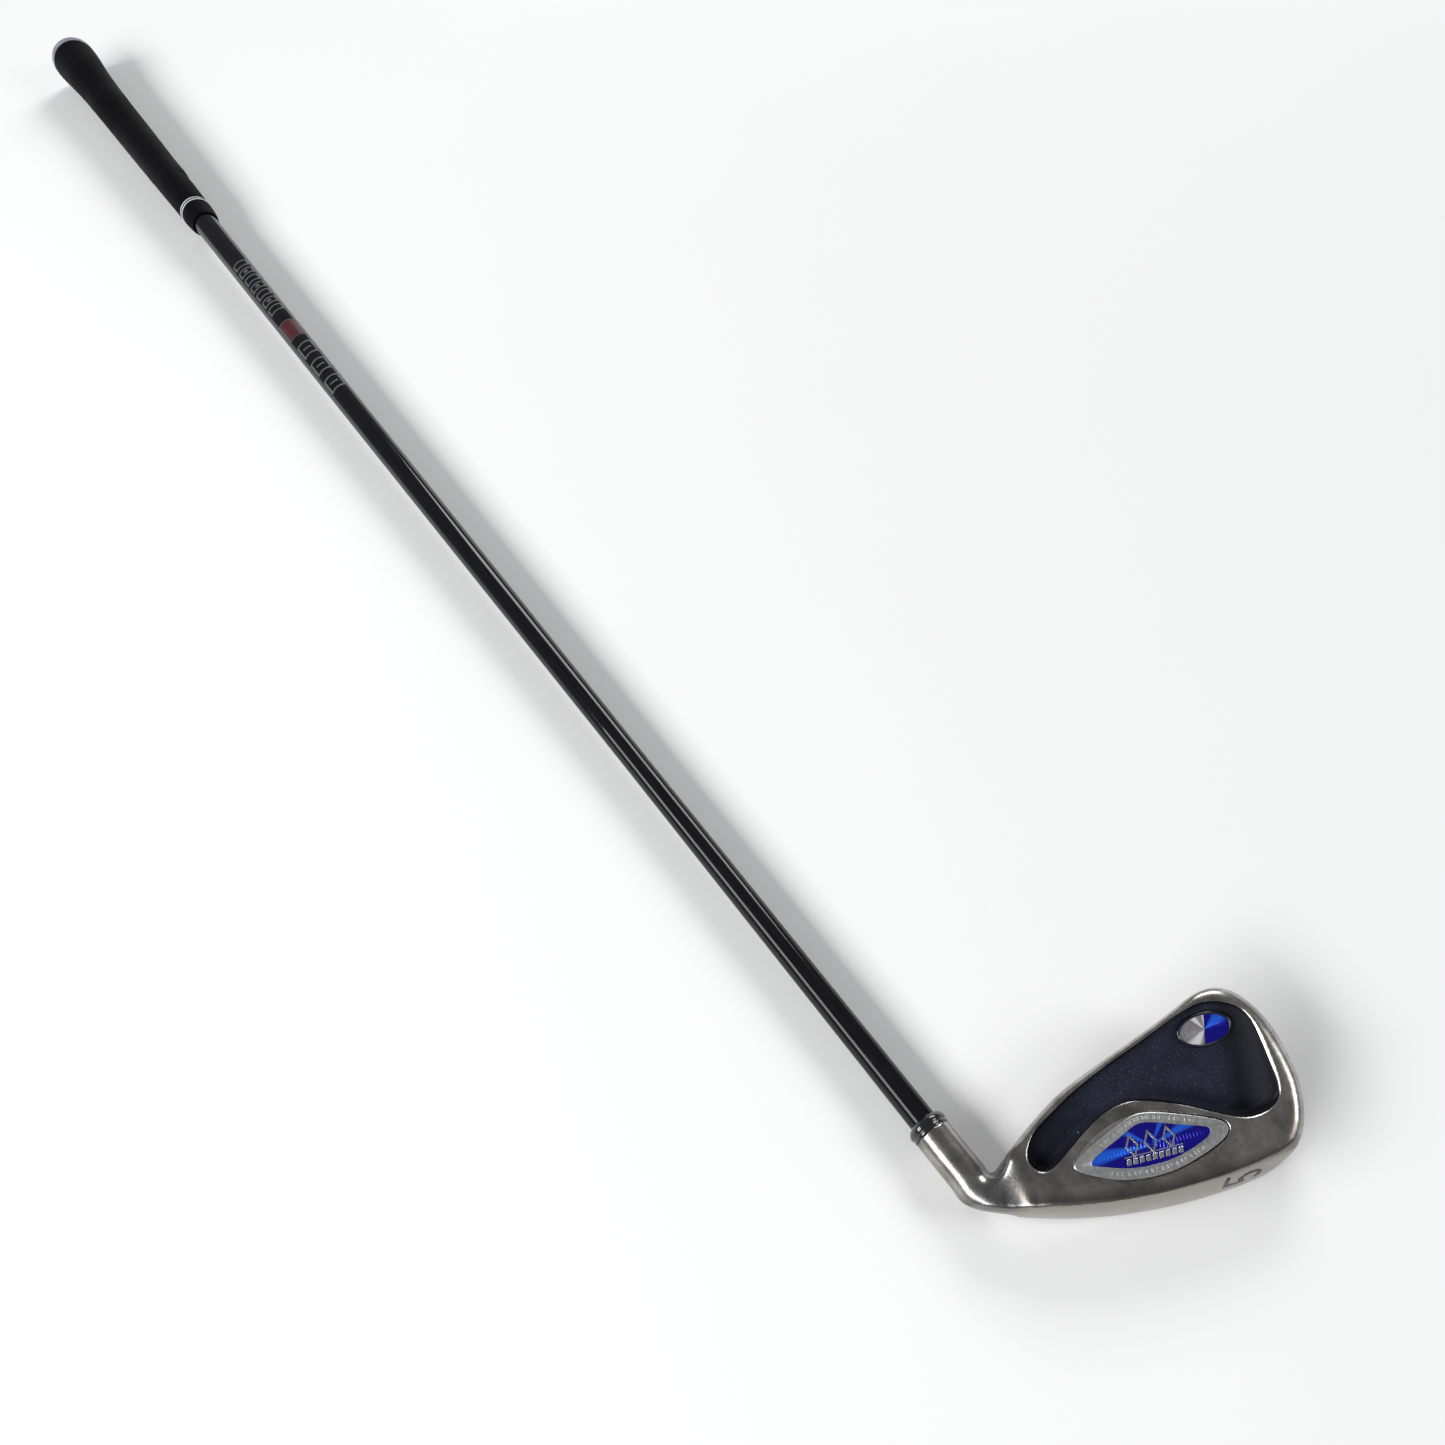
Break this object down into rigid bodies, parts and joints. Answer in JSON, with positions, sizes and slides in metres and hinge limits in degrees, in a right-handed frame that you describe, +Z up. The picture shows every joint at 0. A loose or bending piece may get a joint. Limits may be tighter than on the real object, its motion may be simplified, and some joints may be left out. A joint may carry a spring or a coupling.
{
  "type": "iron golf club",
  "caption": "Right-handed cavity-back mid iron with oversize head, medallions, graphite shaft, ferrule and flared rubber grip.",
  "frame": {"origin": "centre of the bounding box on the floor the club lies on", "axes": "+X along the club from the grip to the head, +Z up with the club lying face down and its cavity upward, +Y roughly toward the toe"},
  "size_m": [0.9824, 0.1201, 0.0303],
  "materials": {
    "satin_steel": "satin, worn",
    "textured_black": "matte speckled",
    "black_paint_fill": "matte",
    "clear_adhesive": "gloss",
    "satin_silver": "satin",
    "blue_lacquer": "gloss",
    "bright_silver": "polished",
    "dark_bezel": "gloss",
    "spun_silver": "spun",
    "tungsten": "matte",
    "dark_resin": "matte",
    "gloss_black_graphite": "clear-coated gloss",
    "ferrule_plastic": "gloss",
    "weight_brass": "matte",
    "grey_print": "satin",
    "red_print": "satin",
    "grip_rubber": "matte textured",
    "white_paint": "satin",
    "pale_grey_cap": "satin",
    "grip_tape": "matte"
  },
  "bodies": {
    "root": {"club_head": "satin_steel", "cavity_coating": "textured_black", "sole_number_fill": "black_paint_fill", "sole_medallion_adhesive": "clear_adhesive", "sole_medallion_plate": "satin_silver", "sole_medallion_inlay": "blue_lacquer", "sole_medallion_emblem": "bright_silver", "toe_badge_adhesive": "clear_adhesive", "toe_badge_bezel": "dark_bezel", "toe_badge_disc": "spun_silver", "toe_badge_lacquer": "blue_lacquer", "tungsten_pellets": "tungsten", "pellet_binder": "dark_resin", "shaft": "gloss_black_graphite", "hosel_epoxy": "clear_adhesive", "ferrule": "ferrule_plastic", "tip_weight": "weight_brass", "shaft_lettering_blocks": "grey_print", "shaft_red_band": "red_print", "grip_sleeve": "grip_rubber", "grip_rings": "white_paint", "grip_end_cap": "pale_grey_cap", "grip_tape": "grip_tape"}
  },
  "joints": []
}
